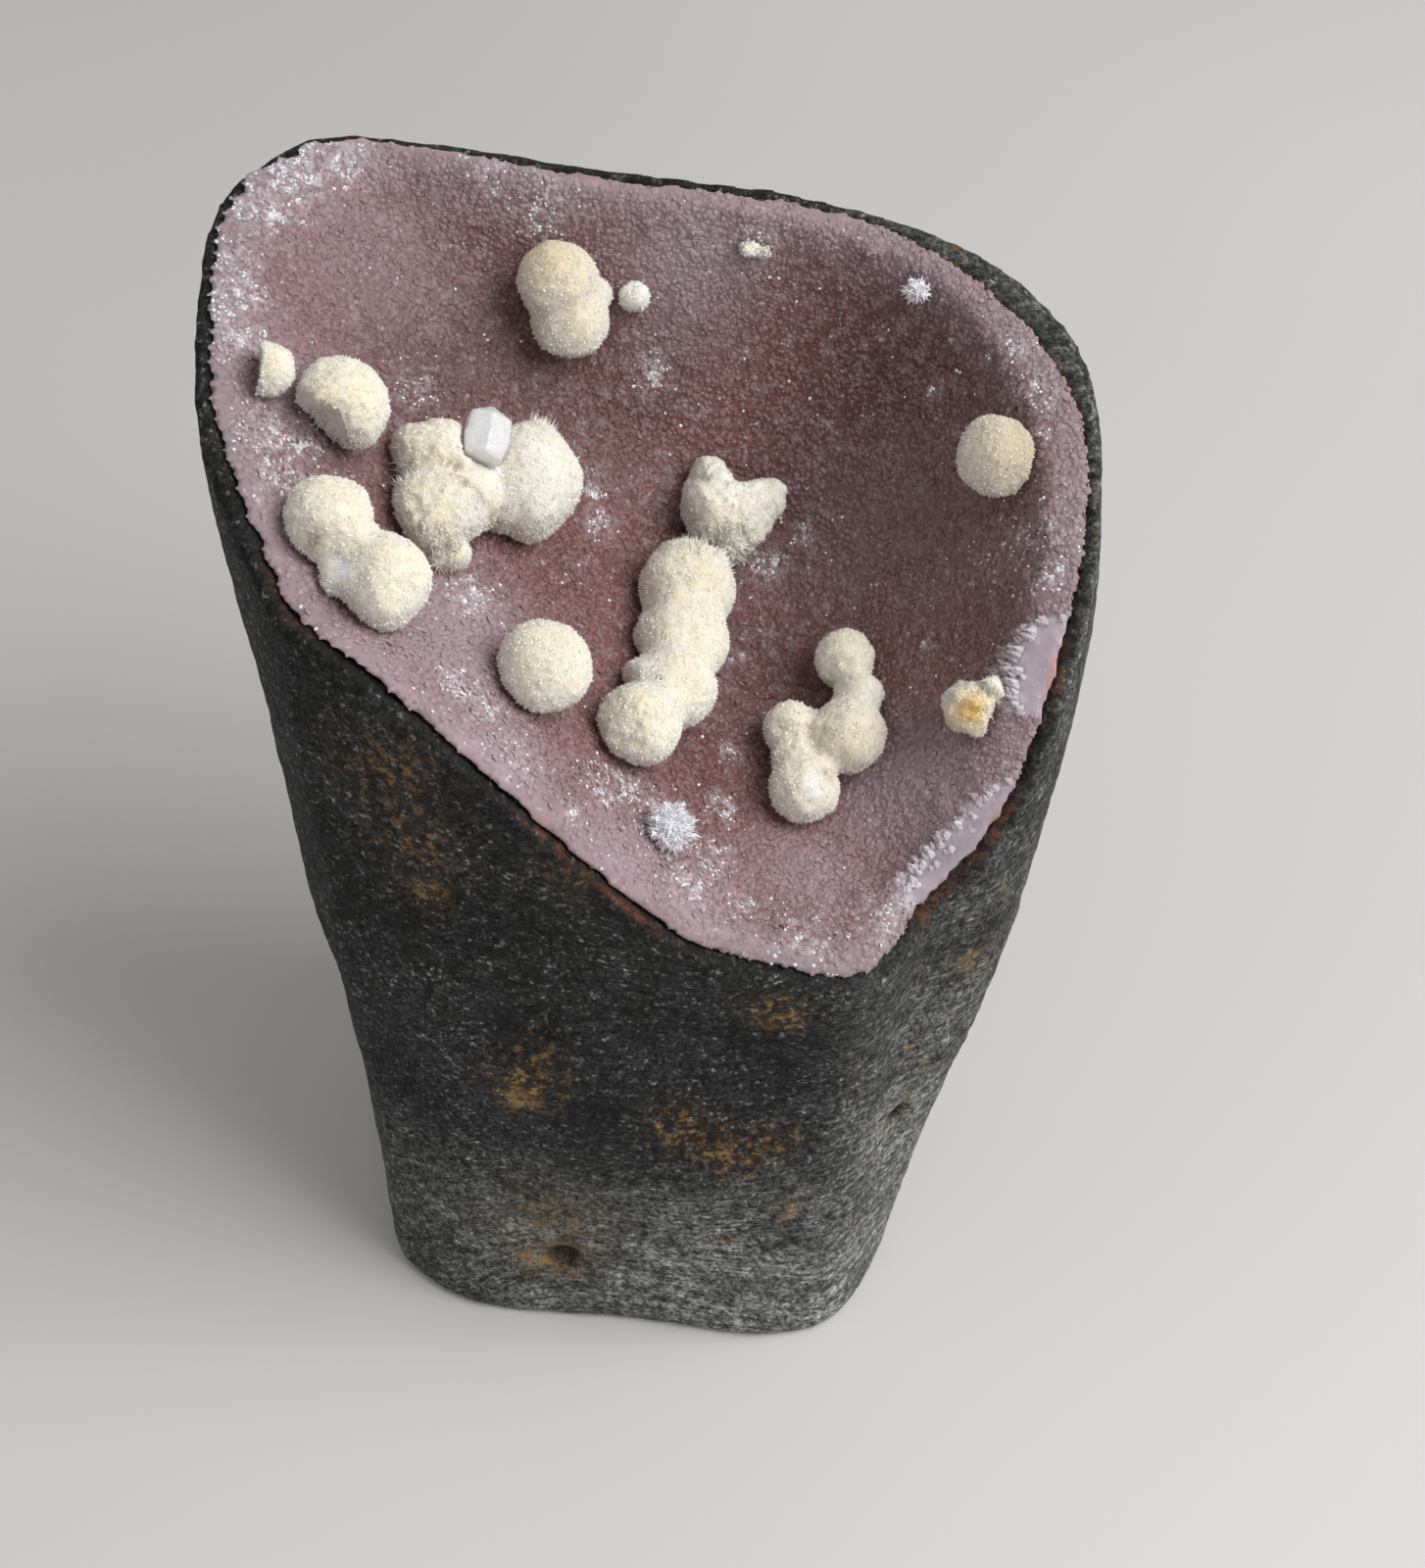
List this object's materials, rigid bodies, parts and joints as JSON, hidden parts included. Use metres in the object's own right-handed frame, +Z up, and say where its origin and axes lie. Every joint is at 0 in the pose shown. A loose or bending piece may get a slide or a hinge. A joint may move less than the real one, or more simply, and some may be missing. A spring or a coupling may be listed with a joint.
{
  "type": "okenite puffball specimen",
  "caption": "Standing mineral specimen: cream okenite puffballs on a mauve quartz druse that lines the hollow of a ground basalt stone with a flat-cut foot",
  "frame": {"origin": "centre of the bottom of the bounding box, at the height of the flat-cut foot", "axes": "+Z up, the longest extent; -Y the side that the hollow opens to; +X to the right seen from there; +Y the shortest extent"},
  "size_m": [0.0854, 0.065, 0.1136],
  "materials": {
    "basalt": "ground, matt, fine grey speckle with grinding marks and rust spots",
    "mauve_quartz": "sugary drusy crystals, mauve, frosted white in places",
    "okenite": "matt felt of fine cream fibres",
    "white_quartz": "milky, translucent, slightly glossy"
  },
  "bodies": {
    "root": {"basalt_stone": "basalt", "quartz_druse": "mauve_quartz", "puffball_back": "okenite", "puffball_back_white": "okenite", "puffball_back_tiny": "okenite", "puffball_half_left": "okenite", "puffball_broken_left": "okenite", "puffball_pair_left": "okenite", "puffball_cluster_middle": "okenite", "puffball_single": "okenite", "puffball_star": "okenite", "puffball_chain": "okenite", "puffball_cluster_front": "okenite", "puffball_right": "okenite", "puffball_broken_right": "okenite", "quartz_crystal_middle": "white_quartz", "spray_front": "white_quartz", "spray_right": "white_quartz"}
  },
  "joints": []
}
